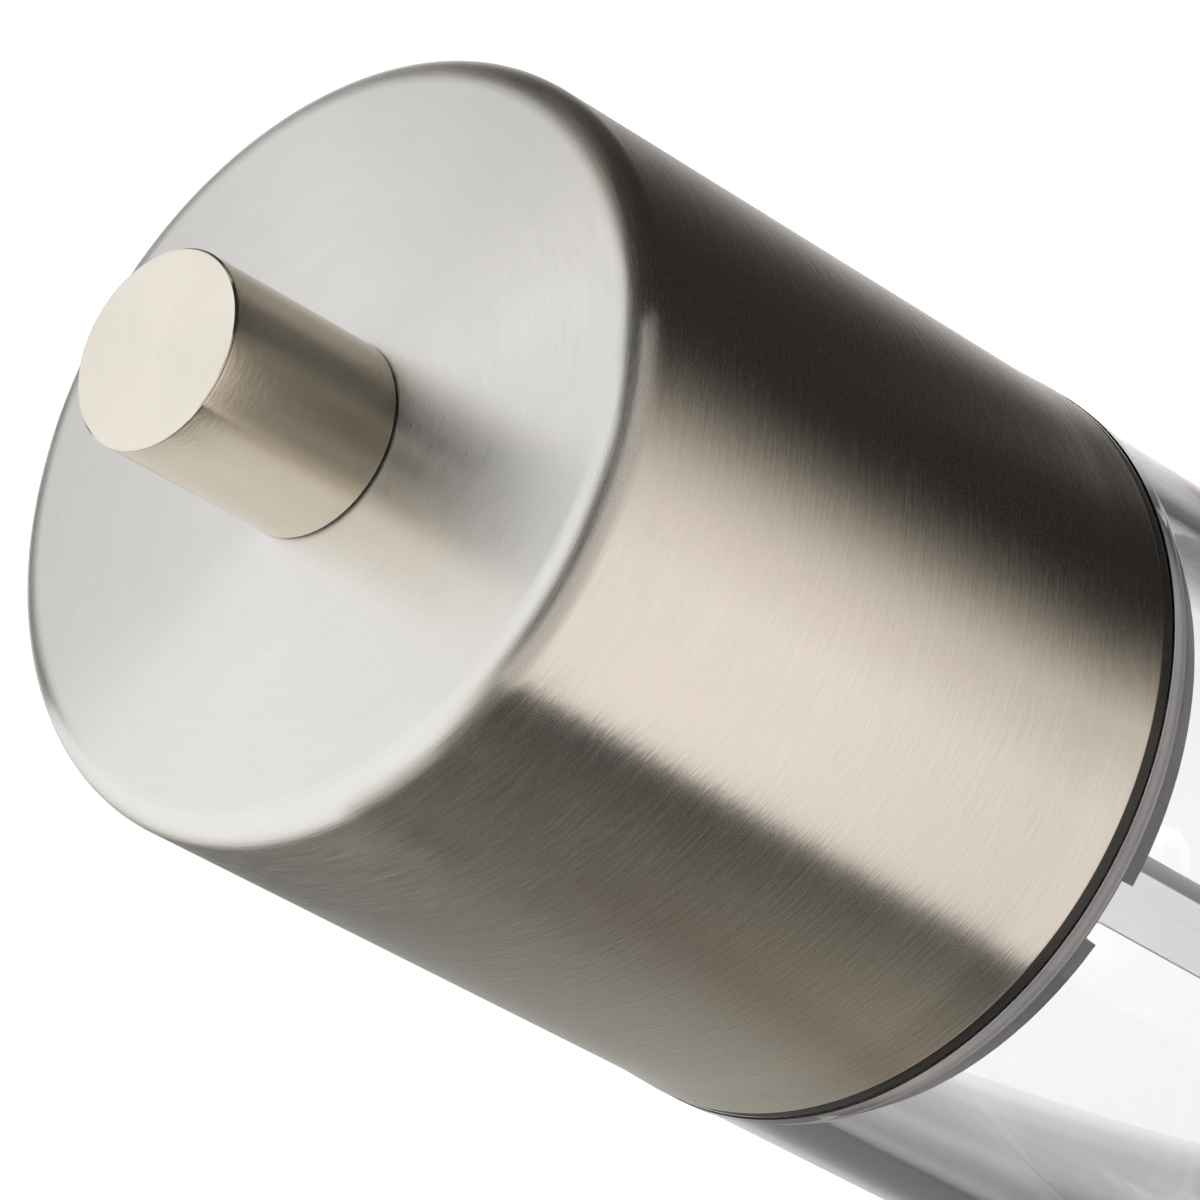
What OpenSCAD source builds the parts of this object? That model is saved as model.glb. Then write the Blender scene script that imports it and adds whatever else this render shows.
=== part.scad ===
// A twist-top pepper mill. The steel cap turns a square shaft and the rotor at its foot,
// and the knob on the shaft's threaded end sets how fine the mill grinds.

/* [Container] */
// Outside diameter of the clear container
container_d = 56; // [52:0.5:64]
// Height of the container from foot to rim
container_h = 108; // [90:1:140]
// Wall round the pepper chamber
container_wall = 3; // [2:0.25:4]
// Height of the bead round the rim
bead_h = 1.2; // [0.6:0.1:2]
// How far the bead stands out
bead_out = 0.2; // [0:0.05:0.4]
// Rounding of the outer rim edge
rim_round = 0.15; // [0.1:0.05:0.6]
// Chamfer inside the mouth
mouth_chamfer = 0.5; // [0.2:0.05:0.8]
// Chamfer round the foot
foot_chamfer = 0.6; // [0.2:0.1:1.2]
// Width of the ring that the mill stands on
foot_land = 2.5; // [2:0.1:4]
// Height of the sloping chamber floor
funnel_h = 6; // [3:0.5:10]
// Height of the straight throat under that floor
throat_h = 2; // [1:0.5:4]

/* [Cap shell] */
// How far the cap stands out past the container
cap_overhang = 0; // [-0.4:0.1:1]
// Height of the steel shell
cap_h = 54.6; // [40:0.2:70]
// Radius of the rounded top edge
cap_edge_r = 2.3; // [1.2:0.1:5]
// Thickness of the steel sheet
cap_sheet = 0.7; // [0.5:0.05:1]
// How far the rim of the shell flares out
cap_flare = 0.2; // [0:0.05:0.4]
// Height of the flare
cap_flare_h = 4; // [2:0.5:8]

/* [Cap core] */
// Outer wall of the moulded core
core_wall = 2; // [1.5:0.1:3]
// Floor of the core
core_floor = 2.5; // [2:0.1:4]
// Wall of the hub round the shaft
hub_wall = 5; // [3:0.25:7]
// Number of ribs between hub and wall
core_ribs = 6; // [6:3:12]
// Thickness of one rib
rib_t = 1.6; // [1.2:0.1:2.4]
// Wall of the skirt in the container's mouth
skirt_wall = 2.2; // [1.8:0.1:3]
// Height of the skirt's lip under the seal
lip_h = 1.7; // [1.2:0.05:4]
// How far the lip draws in at its foot
lip_taper = 0.35; // [0.2:0.05:0.8]
// Number of notches in the lip
notches = 2; // [1:1:6]
// Width of one notch
notch_w = 4.5; // [3:0.1:12]
// Direction of the first notch
notch_turn = -85; // [-180:1:180]

/* [Rings under the cap] */
// Thickness of the black glide ring
glide_t = 1; // [0.8:0.05:2]
// How far the glide ring stays in from the cap's rim
glide_inset = 0.1; // [0.05:0.05:0.8]
// Height of the seal ring
seal_h = 2.05; // [1.2:0.05:3]
// Land between glide ring and seal
seal_land = 1.5; // [0.3:0.05:2]
// Depth of the seal's groove
groove_depth = 1; // [0.6:0.05:1.2]

/* [Drive plate] */
// Diameter of the drive plate
plate_d = 34; // [30:0.5:40]
// Thickness of the drive plate
plate_t = 1.5; // [1:0.1:2.5]
// Distance from the plate's edge to its screws
plate_edge = 4.5; // [3.5:0.1:6]
// Number of plate screws
plate_screw_n = 3; // [2:1:3]
// Diameter of a plate screw
plate_screw_d = 2.9; // [2.2:0.1:3.5]
// Length of a plate screw under its head
plate_screw_l = 8; // [6:0.5:12]

/* [Knob] */
// Diameter of the knob
knob_d = 14.2; // [11:0.1:20]
// Height of the knob
knob_h = 15.3; // [13:0.1:24]
// Chamfer round the top of the knob
knob_chamfer = 0.15; // [0.1:0.05:1]
// Chamfer round the foot of the knob
knob_foot_chamfer = 0.1; // [0.05:0.05:0.5]
// Solid metal above the threaded hole
knob_crown = 3.2; // [2:0.1:5]
// Thickness of the washer under the knob
washer_t = 0.2; // [0.15:0.05:1]
// How far the washer stays in from the knob
washer_inset = 0.4; // [0.2:0.05:1]

/* [Shaft] */
// Side of the square bar
shaft_side = 5; // [4:0.1:6]
// Turn of the square shaft, with every hole that it goes through
shaft_turn = -7.5; // [-45:0.5:45]
// Diameter of the threaded end
thread_d = 5; // [4:0.1:5.6]
// Travel of the shaft either way when the grind is set
adjust_travel = 0.8; // [0.4:0.1:1.2]

/* [Rotor and stator] */
// Diameter of the rotor at its foot
rotor_d = 28; // [25:0.5:31]
// Change of radius for each millimetre of height on the fine teeth
fine_taper = 0.4; // [0.3:0.02:0.5]
// Height of the fine teeth
fine_h = 5.5; // [4:0.25:7]
// Height of the rotor's feed cone
feed_h = 8.5; // [7:0.25:11]
// Gap between the fine teeth
grind_gap = 0.5; // [0.45:0.05:1]
// Number of fine teeth on the rotor
rotor_teeth = 36; // [24:1:42]
// Number of fine teeth on the stator
stator_teeth = 40; // [24:1:44]
// Depth of the fine teeth
fine_depth = 0.6; // [0.4:0.05:0.8]
// Lean of the fine teeth
fine_lean = 18; // [0:1:25]
// Number of feed flutes on the rotor
flute_n = 6; // [4:1:7]
// Radius of a feed flute
flute_r = 2.6; // [2:0.1:3]
// Depth of a feed flute
flute_depth = 1.2; // [0.8:0.1:1.3]
// Lean of the feed flutes
flute_lean = 32; // [15:1:40]
// Number of coarse teeth in the stator's mouth
coarse_n = 12; // [8:1:16]
// Depth of a coarse tooth
coarse_depth = 1; // [0.6:0.05:1.2]
// Wall behind the fine teeth of the stator
stator_wall = 1.5; // [1.2:0.1:2.5]
// Wall of the stator at its mouth
stator_mouth_wall = 2.8; // [2.6:0.1:3.4]
// Height of the stator above the fine teeth
stator_feed_h = 7.5; // [6:0.25:8]
// Height of the rotor's foot above the stator's
rotor_lift = 1; // [0.5:0.1:1.5]
// Solid height of the rotor under the spring
rotor_seat_h = 7; // [5:0.25:9]
// Wall of the rotor round the spring
rotor_top_wall = 1.9; // [1.7:0.1:3]

/* [Rotor fixing] */
// Diameter of the washer under the rotor
rotor_washer_d = 9; // [8:0.5:14]
// Thickness of that washer
rotor_washer_t = 1; // [0.6:0.1:1.5]
// Diameter of the rotor screw
rotor_screw_d = 2.9; // [2.4:0.1:3.2]
// Length of the rotor screw under its head
rotor_screw_l = 9; // [7:0.5:12]
// Height of the rotor screw's head
rotor_head_h = 1.8; // [1.4:0.1:2]

/* [Bush and spring] */
// Wall of the bush at the corners of its square hole
bush_wall = 0.8; // [0.6:0.05:1.2]
// How far the bush flange stands out
bush_flange = 1.9; // [1.4:0.1:2.2]
// Thickness of the bush flange
bush_flange_t = 1.2; // [0.8:0.1:2]
// How far the bush stands above the spider
bush_rise = 2; // [1.6:0.1:3]
// Thickness of the clip on the bush
clip_t = 0.6; // [0.4:0.05:0.8]
// Width of the clip
clip_w = 1.5; // [1:0.1:2]
// Depth of the clip's groove
clip_groove = 0.35; // [0.2:0.05:0.4]
// Wire of the spring
spring_wire = 0.9; // [0.6:0.05:1]
// Number of turns of the spring
spring_turns = 4.5; // [4:0.25:4.75]
// Space between the spring and the shaft's corners
spring_clear = 0.8; // [0.6:0.05:1]

/* [Housing and retainer] */
// Wall of the housing round the stator
housing_wall = 2.8; // [2.2:0.1:4]
// Width of the container's ledge over the housing
ledge_w = 3; // [2:0.1:4]
// Width of the shelf over the stator
shelf_w = 1.5; // [1:0.1:2.5]
// Number of arms of the spider
arm_n = 4; // [2:1:6]
// Width of one arm
arm_w = 3; // [2:0.1:4]
// Height of the spider
spider_h = 4; // [3:0.25:6]
// How far the ridge of an arm lies under the hub's top
arm_drop = 0.4; // [0.2:0.1:1]
// Wall of the spider's hub
spider_hub_wall = 2.4; // [1.8:0.1:3]
// Space between the rotor at its highest and the bush
bush_headroom = 1; // [0.5:0.1:2]
// Space between the table and the retainer ring
foot_gap = 2; // [1.8:0.1:4]
// Thickness of the retainer ring
retainer_t = 2; // [1.5:0.1:3]
// Space between the rotor's foot and the outlet's edge
outlet_clear = 1.2; // [0.9:0.1:1.4]
// Number of retainer screws
retainer_screw_n = 3; // [3:1:6]
// Diameter of a retainer screw
retainer_screw_d = 2.2; // [1.8:0.1:2.6]
// Length of a retainer screw under its head
retainer_screw_l = 10; // [7:0.5:14]
// Height of a retainer screw's head
retainer_head_h = 1.4; // [1:0.1:1.6]

/* [Fits] */
// Gap between pieces that are pressed or glued together
seat_fit = 0.1; // [0.05:0.01:0.15]
// Gap round the turning bush
running_fit = 0.08; // [0.04:0.01:0.1]
// Gap between the square bar and the holes it slides in
slide_fit = 0.1; // [0.05:0.01:0.15]
// Gap between skirt and container
mouth_fit = 0.3; // [0.2:0.05:0.5]
// Gap between seal and container
seal_fit = 0.1; // [0.05:0.01:0.2]
// Gap between the thread and the knob's hole
thread_fit = 0.05; // [0.03:0.01:0.1]
// Gap round shafts and screws in plain clearance holes
clear_fit = 0.3; // [0.25:0.05:0.5]

/* [Hidden] */
$fn = 96;

// Radii of the container and the cap
container_r = container_d / 2;
chamber_r = container_r - container_wall;
recess_r = container_r - foot_land;
cap_r = container_r + cap_overhang;
core_r = cap_r - cap_sheet - seat_fit;
skirt_r = chamber_r - mouth_fit;
groove_r = skirt_r - groove_depth;
glide_out_r = cap_r + cap_flare - glide_inset;
glide_in_r = skirt_r + seat_fit;

// Radii round the shaft
shaft_corner = shaft_side / sqrt(2);
square_hole = shaft_side + 2 * slide_fit;
hub_bore_r = shaft_corner + clear_fit;
hub_r = hub_bore_r + hub_wall;
thread_r = thread_d / 2;
knob_r = knob_d / 2;
knob_bore = knob_h - knob_crown;

// Radii of the grinding unit
rotor_r = rotor_d / 2;
fine_top_r = rotor_r - fine_taper * fine_h;
stator_foot_r = rotor_r + grind_gap + fine_taper * rotor_lift;
stator_waist_r = fine_top_r + grind_gap;
stator_r = stator_foot_r + fine_depth + stator_wall;
stator_mouth_r = stator_r - stator_mouth_wall;
pocket_r = stator_r + seat_fit;
housing_r = pocket_r + housing_wall;
unit_r = housing_r + seat_fit;
throat_r = unit_r - ledge_w;
shelf_r = stator_r - shelf_w;
outlet_r = rotor_r + outlet_clear;
bush_r = square_hole / sqrt(2) + bush_wall;
bush_flange_r = bush_r + bush_flange;
spider_bore_r = bush_r + running_fit;
spider_hub_r = spider_bore_r + spider_hub_wall;
spring_r = shaft_corner + spring_clear + spring_wire / 2;
spring_pocket_r = spring_r + spring_wire / 2 + 2 * clear_fit;
rotor_top_r = spring_pocket_r + rotor_top_wall;

// Heights from the table up
z_unit = foot_gap + retainer_t;
z_rotor = z_unit + rotor_lift;
z_fine = z_rotor + fine_h;
z_rotor_top = z_fine + feed_h;
z_stator_top = z_fine + stator_feed_h;
z_spring = z_rotor + rotor_seat_h;
z_flange = z_rotor_top + adjust_travel + bush_headroom;
z_hub = z_flange + bush_flange_t;
z_ledge = z_hub + spider_h;
z_bush_top = z_ledge + bush_rise;
z_throat = z_ledge + throat_h;
z_funnel = z_throat + funnel_h;
z_rim = container_h;
z_cap = z_rim + glide_t;
z_seal_top = z_rim - seal_land;
z_lip = z_seal_top - seal_h;
z_skirt = z_lip - lip_h;
z_cap_top = z_cap + cap_h;
z_core_top = z_cap_top - cap_sheet;
z_knob = z_cap_top + washer_t;
z_knob_top = z_knob + knob_h;
z_plate = z_cap - plate_t;
z_shaft = z_rotor + clear_fit;
z_square_top = z_core_top - adjust_travel - 2 * clear_fit;
z_thread_top = z_knob + knob_bore - adjust_travel - 2 * clear_fit;

// Screw circles and screw heads
plate_screw_r = plate_d / 2 - plate_edge;
plate_head_r = plate_screw_d * 0.95;
plate_head_h = plate_screw_d * 0.6;
plate_boss_r = plate_screw_d / 2 + 1.75;
retainer_screw_r = (unit_r + recess_r) / 2 - 0.25;
retainer_head_r = retainer_screw_d * 0.85;
rotor_head_r = rotor_screw_d * 0.95;
screw_end = 1;

steel = [0.76, 0.75, 0.72];
bright = [0.85, 0.85, 0.86];
tool_steel = [0.48, 0.48, 0.50];
black = [0.06, 0.06, 0.06];
clear = [0.90, 0.94, 0.96, 0.35];
smoky = [0.52, 0.50, 0.49];
nylon = [0.86, 0.85, 0.80];

// Points of an arc in the profile plane
function arc(x, y, r, from, to, steps = 8) =
    [for (i = [0:steps])
        let (a = from + (to - from) * i / steps)
        [x + r * cos(a), y + r * sin(a)]];

// A flat ring between two radii, from one height to another
module ring(outer, inner, low, high) {
    translate([0, 0, low])
        difference() {
            cylinder(r = outer, h = high - low);
            translate([0, 0, -1])
                cylinder(r = inner, h = high - low + 2);
        }
}

// The square bar, or a square hole for it, along the axis
module square_bore(side, low, high) {
    rotate([0, 0, shaft_turn])
        translate([-side / 2, -side / 2, low])
            cube([side, side, high - low]);
}

// A pan-head screw that points up, with its head under the given height
module screw(d, length, head_r, head_h) {
    cylinder(r = d / 2, h = length);
    translate([0, 0, -head_h])
        rotate_extrude()
            polygon(concat([[0, 0]],
                           arc(head_r - head_h / 2, head_h / 2, head_h / 2, -90, 0),
                           [[head_r, head_h], [0, head_h]]));
}

// A straight groove cutter along the local height, cutting toward negative x
module vee(length, depth, half_w, over) {
    spread = half_w * (depth + over) / depth;
    linear_extrude(height = length, center = true)
        polygon([[-depth, 0], [over, spread], [over, -spread]]);
}

module container() {
    edge = container_r + bead_out;
    color(clear)
        difference() {
            rotate_extrude()
                polygon(concat(
                    [[recess_r, 0], [container_r - foot_chamfer, 0],
                     [container_r, foot_chamfer],
                     [container_r, z_rim - bead_h - 2 * bead_out], [edge, z_rim - bead_h]],
                    arc(edge - rim_round, z_rim - rim_round, rim_round, 0, 90),
                    [[chamber_r + mouth_chamfer, z_rim], [chamber_r, z_rim - mouth_chamfer],
                     [chamber_r, z_funnel], [throat_r, z_throat], [throat_r, z_ledge],
                     [unit_r, z_ledge], [unit_r, z_unit], [recess_r, z_unit]]));
            retainer_places()
                translate([0, 0, z_unit - 1])
                    cylinder(d = retainer_screw_d + seat_fit,
                             h = 1 + retainer_screw_l - retainer_t + screw_end);
        }
}

module retainer_places() {
    for (i = [0:retainer_screw_n - 1])
        rotate([0, 0, 360 * i / retainer_screw_n + 30])
            translate([retainer_screw_r, 0, 0])
                children();
}

module mill_housing() {
    bevel = throat_r - shelf_r;
    color(black)
        difference() {
            union() {
                rotate_extrude()
                    polygon([[pocket_r, z_unit], [housing_r, z_unit], [housing_r, z_ledge],
                             [throat_r, z_ledge], [shelf_r, z_ledge - bevel],
                             [shelf_r, z_stator_top], [pocket_r, z_stator_top]]);
                translate([0, 0, z_hub])
                    cylinder(r = spider_hub_r, h = spider_h);
                for (i = [0:arm_n - 1])
                    rotate([0, 0, 360 * i / arm_n + 45])
                        spider_arm();
            }
            translate([0, 0, z_hub - 1])
                cylinder(r = spider_bore_r, h = spider_h + 2);
        }
}

// One arm, peaked on top so that no peppercorn rests on it
module spider_arm() {
    ridge = spider_h - arm_drop;
    shoulder = ridge - arm_w / 2;
    start = spider_bore_r + spider_hub_wall / 2;
    reach = (shelf_r + housing_r) / 2;
    translate([start, 0, z_hub])
        rotate([90, 0, 90])
            linear_extrude(height = reach - start)
                polygon([[-arm_w / 2, 0], [arm_w / 2, 0], [arm_w / 2, shoulder],
                         [0, ridge], [-arm_w / 2, shoulder]]);
}

module stator() {
    fine_mid_h = (z_unit + z_fine) / 2;
    fine_mid_r = (stator_foot_r + stator_waist_r) / 2;
    fine_len = (z_fine - z_unit) * 1.5;
    coarse_mid_h = (z_fine + z_stator_top) / 2;
    coarse_mid_r = (stator_waist_r + stator_mouth_r) / 2;
    coarse_slope = atan((stator_mouth_r - stator_waist_r) / stator_feed_h);
    color(tool_steel)
        difference() {
            rotate_extrude()
                polygon([[stator_foot_r, z_unit], [stator_r, z_unit],
                         [stator_r, z_stator_top], [stator_mouth_r, z_stator_top],
                         [stator_waist_r, z_fine]]);
            for (i = [0:stator_teeth - 1])
                rotate([0, 0, 360 * i / stator_teeth])
                    translate([fine_mid_r, 0, fine_mid_h])
                        rotate([0, -atan(fine_taper), 0])
                            rotate([-fine_lean, 0, 0])
                                mirror([1, 0, 0])
                                    vee(fine_len, fine_depth, fine_depth, fine_depth);
            for (i = [0:coarse_n - 1])
                rotate([0, 0, 360 * i / coarse_n])
                    translate([coarse_mid_r, 0, coarse_mid_h])
                        rotate([0, coarse_slope, 0])
                            rotate([-flute_lean, 0, 0])
                                mirror([1, 0, 0])
                                    vee(stator_feed_h * 1.8, coarse_depth,
                                        coarse_depth * 1.6, coarse_depth);
        }
}

module retainer_ring() {
    bevel = retainer_t / 4;
    color(bright)
        difference() {
            rotate_extrude()
                polygon([[outlet_r + bevel, foot_gap], [recess_r - seat_fit, foot_gap],
                         [recess_r - seat_fit, z_unit], [outlet_r, z_unit],
                         [outlet_r, foot_gap + bevel]]);
            retainer_places()
                translate([0, 0, foot_gap - 1])
                    cylinder(d = retainer_screw_d + 2 * clear_fit, h = retainer_t + 2);
        }
}

module retainer_screws() {
    color(bright)
        retainer_places()
            translate([0, 0, foot_gap])
                screw(retainer_screw_d, retainer_screw_l, retainer_head_r, retainer_head_h);
}

module thrust_bush() {
    color(nylon)
        difference() {
            union() {
                translate([0, 0, z_flange])
                    cylinder(r = bush_flange_r, h = bush_flange_t);
                translate([0, 0, z_flange])
                    cylinder(r = bush_r, h = z_bush_top - z_flange);
            }
            square_bore(square_hole, z_flange - 1, z_bush_top + 1);
            ring(bush_r + 1, bush_r - clip_groove, z_ledge, z_ledge + clip_t);
        }
}

// An open clip in the bush's groove, which lies on top of the spider
module shaft_clip() {
    inner = bush_r - clip_groove + 0.02;
    color(bright)
        difference() {
            ring(bush_r - clip_groove + clip_w, inner, z_ledge, z_ledge + clip_t);
            translate([0, -bush_r * 0.45, z_ledge - 1])
                cube([bush_r + clip_w + 1, bush_r * 0.9, clip_t + 2]);
        }
}

// The spring is one helical tube with flat ends
spring_flat = 0.25;
spring_low = z_spring + seat_fit;
spring_high = z_flange - seat_fit;
spring_rings = round(spring_turns * 8);
spring_sides = 6;

function spring_height(turn) =
    spring_low + spring_wire / 2
    + (spring_high - spring_low - spring_wire)
      * min(max(turn - spring_flat, 0), spring_turns - 2 * spring_flat)
      / (spring_turns - 2 * spring_flat);

function spring_point(i, j) =
    let (a = 360 * i / 8,
         b = 360 * j / spring_sides + 30,
         r = spring_r + spring_wire / 2 * cos(b))
    [r * cos(a), r * sin(a),
     spring_height(spring_turns * i / spring_rings) + spring_wire / 2 * sin(b)];

spring_points = [for (i = [0:spring_rings], j = [0:spring_sides - 1]) spring_point(i, j)];

spring_faces = concat(
    [for (i = [0:spring_rings - 1], j = [0:spring_sides - 1])
        let (k = (j + 1) % spring_sides, a = i * spring_sides, b = a + spring_sides)
        each [[a + j, a + k, b + k], [a + j, b + k, b + j]]],
    [for (j = [1:spring_sides - 2]) [0, j + 1, j]],
    [for (j = [1:spring_sides - 2])
        let (a = spring_rings * spring_sides)
        [a, a + j, a + j + 1]]);

spring_gap = min([for (i = [0:spring_rings - 6], k = [i + 6:spring_rings],
                       j = [0:spring_sides - 1], m = [0:spring_sides - 1])
                  norm(spring_points[i * spring_sides + j]
                       - spring_points[k * spring_sides + m])]);
echo(least_gap_of_the_spring_to_itself = spring_gap);

module spring() {
    color(bright)
        polyhedron(points = spring_points, faces = spring_faces);
}

module shaft() {
    color(bright)
        difference() {
            union() {
                square_bore(shaft_side, z_shaft, z_square_top);
                translate([0, 0, z_square_top - 1])
                    cylinder(r = thread_r, h = z_thread_top - z_square_top + 1 - thread_r / 5);
                translate([0, 0, z_thread_top - thread_r / 5])
                    cylinder(r1 = thread_r, r2 = thread_r * 0.8, h = thread_r / 5);
            }
            translate([0, 0, z_shaft - 1])
                cylinder(d = rotor_screw_d + seat_fit,
                         h = 1 + rotor_screw_l - rotor_washer_t + screw_end);
        }
}

module rotor() {
    fine_mid_h = (z_rotor + z_fine) / 2;
    fine_mid_r = (rotor_r + fine_top_r) / 2;
    fine_len = fine_h * 1.4;
    feed_mid_h = (z_fine + z_rotor_top) / 2;
    feed_mid_r = (fine_top_r + rotor_top_r) / 2;
    feed_slope = atan((fine_top_r - rotor_top_r) / feed_h);
    flute_len = feed_h * 1.5;
    color(tool_steel)
        difference() {
            rotate_extrude()
                polygon([[0, z_rotor], [rotor_r, z_rotor], [fine_top_r, z_fine],
                         [rotor_top_r, z_rotor_top], [0, z_rotor_top]]);
            for (i = [0:rotor_teeth - 1])
                rotate([0, 0, 360 * i / rotor_teeth])
                    translate([fine_mid_r, 0, fine_mid_h])
                        rotate([0, -atan(fine_taper), 0])
                            rotate([fine_lean, 0, 0])
                                vee(fine_len, fine_depth, fine_depth, fine_depth);
            for (i = [0:flute_n - 1])
                rotate([0, 0, 360 * (i + 0.3) / flute_n])
                    translate([feed_mid_r, 0, feed_mid_h])
                        rotate([0, -feed_slope, 0])
                            rotate([flute_lean, 0, 0])
                                translate([flute_r - flute_depth, 0, -flute_len * 0.42])
                                    cylinder(r = flute_r, h = flute_len);
            translate([0, 0, z_spring])
                cylinder(r = spring_pocket_r, h = z_rotor_top - z_spring + 1);
            square_bore(shaft_side + seat_fit, z_rotor - 1, z_spring + 1);
        }
}

module rotor_washer() {
    color(bright)
        ring(rotor_washer_d / 2, rotor_screw_d / 2 + seat_fit, z_rotor - rotor_washer_t, z_rotor);
}

module rotor_screw() {
    color(bright)
        translate([0, 0, z_rotor - rotor_washer_t])
            screw(rotor_screw_d, rotor_screw_l, rotor_head_r, rotor_head_h);
}

module cap_shell() {
    inner_r = cap_r - cap_sheet;
    bend_z = z_cap_top - cap_edge_r;
    bend_r = cap_r - cap_edge_r;
    hole_r = thread_r + clear_fit;
    color(steel)
        rotate_extrude()
            polygon(concat(
                [[inner_r + cap_flare, z_cap], [cap_r + cap_flare, z_cap],
                 [cap_r, z_cap + cap_flare_h]],
                arc(bend_r, bend_z, cap_edge_r, 0, 90, 12),
                [[hole_r, z_cap_top], [hole_r, z_core_top]],
                arc(bend_r, bend_z, cap_edge_r - cap_sheet, 90, 0, 12),
                [[inner_r, z_cap + cap_flare_h]]));
}

module plate_places() {
    for (i = [0:plate_screw_n - 1])
        rotate([0, 0, 360 * i / plate_screw_n])
            translate([plate_screw_r, 0, 0])
                children();
}

// The moulded core: wall, floor, hub and skirt in one turned form, then ribs and bosses.
// The skirt hangs in the mouth of the container, with a seal groove and a notched lip.
module cap_core() {
    bevel = cap_edge_r - cap_sheet + seat_fit;
    wall_bevel = min(bevel, core_wall);
    wall_top = z_core_top - bevel + wall_bevel;
    skirt_in_r = skirt_r - skirt_wall;
    floor_top = z_cap + core_floor;
    floor_mid = z_cap + core_floor / 2;
    boss_h = plate_screw_l - plate_t + 2 * screw_end;
    color(black)
        difference() {
            union() {
                rotate_extrude()
                    polygon([[hub_bore_r, z_cap], [skirt_in_r, z_cap], [skirt_in_r, z_skirt],
                             [skirt_r - lip_taper, z_skirt], [skirt_r, z_lip - lip_h / 3],
                             [skirt_r, z_lip], [groove_r, z_lip], [groove_r, z_seal_top],
                             [skirt_r, z_seal_top], [skirt_r, z_cap], [core_r, z_cap],
                             [core_r, z_core_top - bevel], [core_r - wall_bevel, wall_top],
                             [core_r - core_wall, wall_top], [core_r - core_wall, floor_top],
                             [hub_r, floor_top], [hub_r, z_core_top], [hub_bore_r, z_core_top]]);
                for (i = [0:core_ribs - 1])
                    rotate([0, 0, 360 * i / core_ribs])
                        translate([hub_r - hub_wall / 2, -rib_t / 2, floor_mid])
                            cube([core_r - core_wall / 2 - hub_r + hub_wall / 2, rib_t,
                                  z_core_top - bevel - floor_mid]);
                plate_places()
                    translate([0, 0, floor_mid])
                        cylinder(r = plate_boss_r, h = z_cap + boss_h - floor_mid);
            }
            plate_places()
                translate([0, 0, z_cap - 1])
                    cylinder(d = plate_screw_d + seat_fit,
                             h = 1 + plate_screw_l - plate_t + screw_end);
            for (i = [0:notches - 1])
                rotate([0, 0, 360 * i / notches + notch_turn])
                    translate([skirt_in_r - 1, -notch_w / 2, z_skirt - 1])
                        cube([skirt_wall + 2, notch_w, lip_h + 1]);
        }
}

module drive_plate() {
    color(bright)
        difference() {
            translate([0, 0, z_plate])
                cylinder(d = plate_d, h = plate_t);
            square_bore(square_hole, z_plate - 1, z_cap + 1);
            plate_places()
                translate([0, 0, z_plate - 1])
                    cylinder(d = plate_screw_d + 2 * clear_fit, h = plate_t + 2);
        }
}

module plate_screws() {
    color(bright)
        plate_places()
            translate([0, 0, z_plate])
                screw(plate_screw_d, plate_screw_l, plate_head_r, plate_head_h);
}

module glide_ring() {
    color(black)
        ring(glide_out_r, glide_in_r, z_rim, z_cap);
}

module seal_ring() {
    color(smoky)
        ring(chamber_r - seal_fit, groove_r + seal_fit / 2, z_lip, z_seal_top);
}

module knob_washer() {
    color(black)
        ring(knob_r - washer_inset, thread_r + clear_fit, z_cap_top, z_knob);
}

module knob() {
    color(steel)
        difference() {
            rotate_extrude()
                polygon([[0, z_knob], [knob_r - knob_foot_chamfer, z_knob],
                         [knob_r, z_knob + knob_foot_chamfer],
                         [knob_r, z_knob_top - knob_chamfer],
                         [knob_r - knob_chamfer, z_knob_top], [0, z_knob_top]]);
            translate([0, 0, z_knob - 1])
                cylinder(r = thread_r + thread_fit, h = knob_bore + 1);
        }
}

container();
mill_housing();
stator();
retainer_ring();
retainer_screws();
thrust_bush();
shaft_clip();
spring();
shaft();
rotor();
rotor_washer();
rotor_screw();
cap_shell();
cap_core();
drive_plate();
plate_screws();
glide_ring();
seal_ring();
knob_washer();
knob();
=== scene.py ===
"""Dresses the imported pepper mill: a brushed steel cap and knob on a clear container."""
import math

import bmesh
import bpy
from mathutils import Matrix, Vector


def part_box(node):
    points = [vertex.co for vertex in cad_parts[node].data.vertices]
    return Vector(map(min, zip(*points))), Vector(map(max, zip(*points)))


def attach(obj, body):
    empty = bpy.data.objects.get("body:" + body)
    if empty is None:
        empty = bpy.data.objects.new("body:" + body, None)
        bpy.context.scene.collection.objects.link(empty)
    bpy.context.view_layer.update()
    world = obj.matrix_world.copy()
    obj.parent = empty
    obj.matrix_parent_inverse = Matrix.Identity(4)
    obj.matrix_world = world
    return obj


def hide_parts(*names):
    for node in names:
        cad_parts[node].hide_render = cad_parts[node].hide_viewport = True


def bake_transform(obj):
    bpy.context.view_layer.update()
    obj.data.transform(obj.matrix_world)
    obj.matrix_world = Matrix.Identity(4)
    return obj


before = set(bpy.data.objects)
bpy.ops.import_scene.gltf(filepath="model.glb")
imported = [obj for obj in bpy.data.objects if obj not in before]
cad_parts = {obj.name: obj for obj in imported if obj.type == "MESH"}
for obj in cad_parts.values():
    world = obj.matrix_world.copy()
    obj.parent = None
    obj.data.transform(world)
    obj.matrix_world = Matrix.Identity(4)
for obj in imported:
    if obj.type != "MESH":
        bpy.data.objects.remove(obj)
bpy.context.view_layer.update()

MM = 0.001
TURN = 2 * math.pi


def node_box(name):
    """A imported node's lowest and highest corner in millimetres."""
    low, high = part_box(name)
    return low / MM, high / MM


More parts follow.
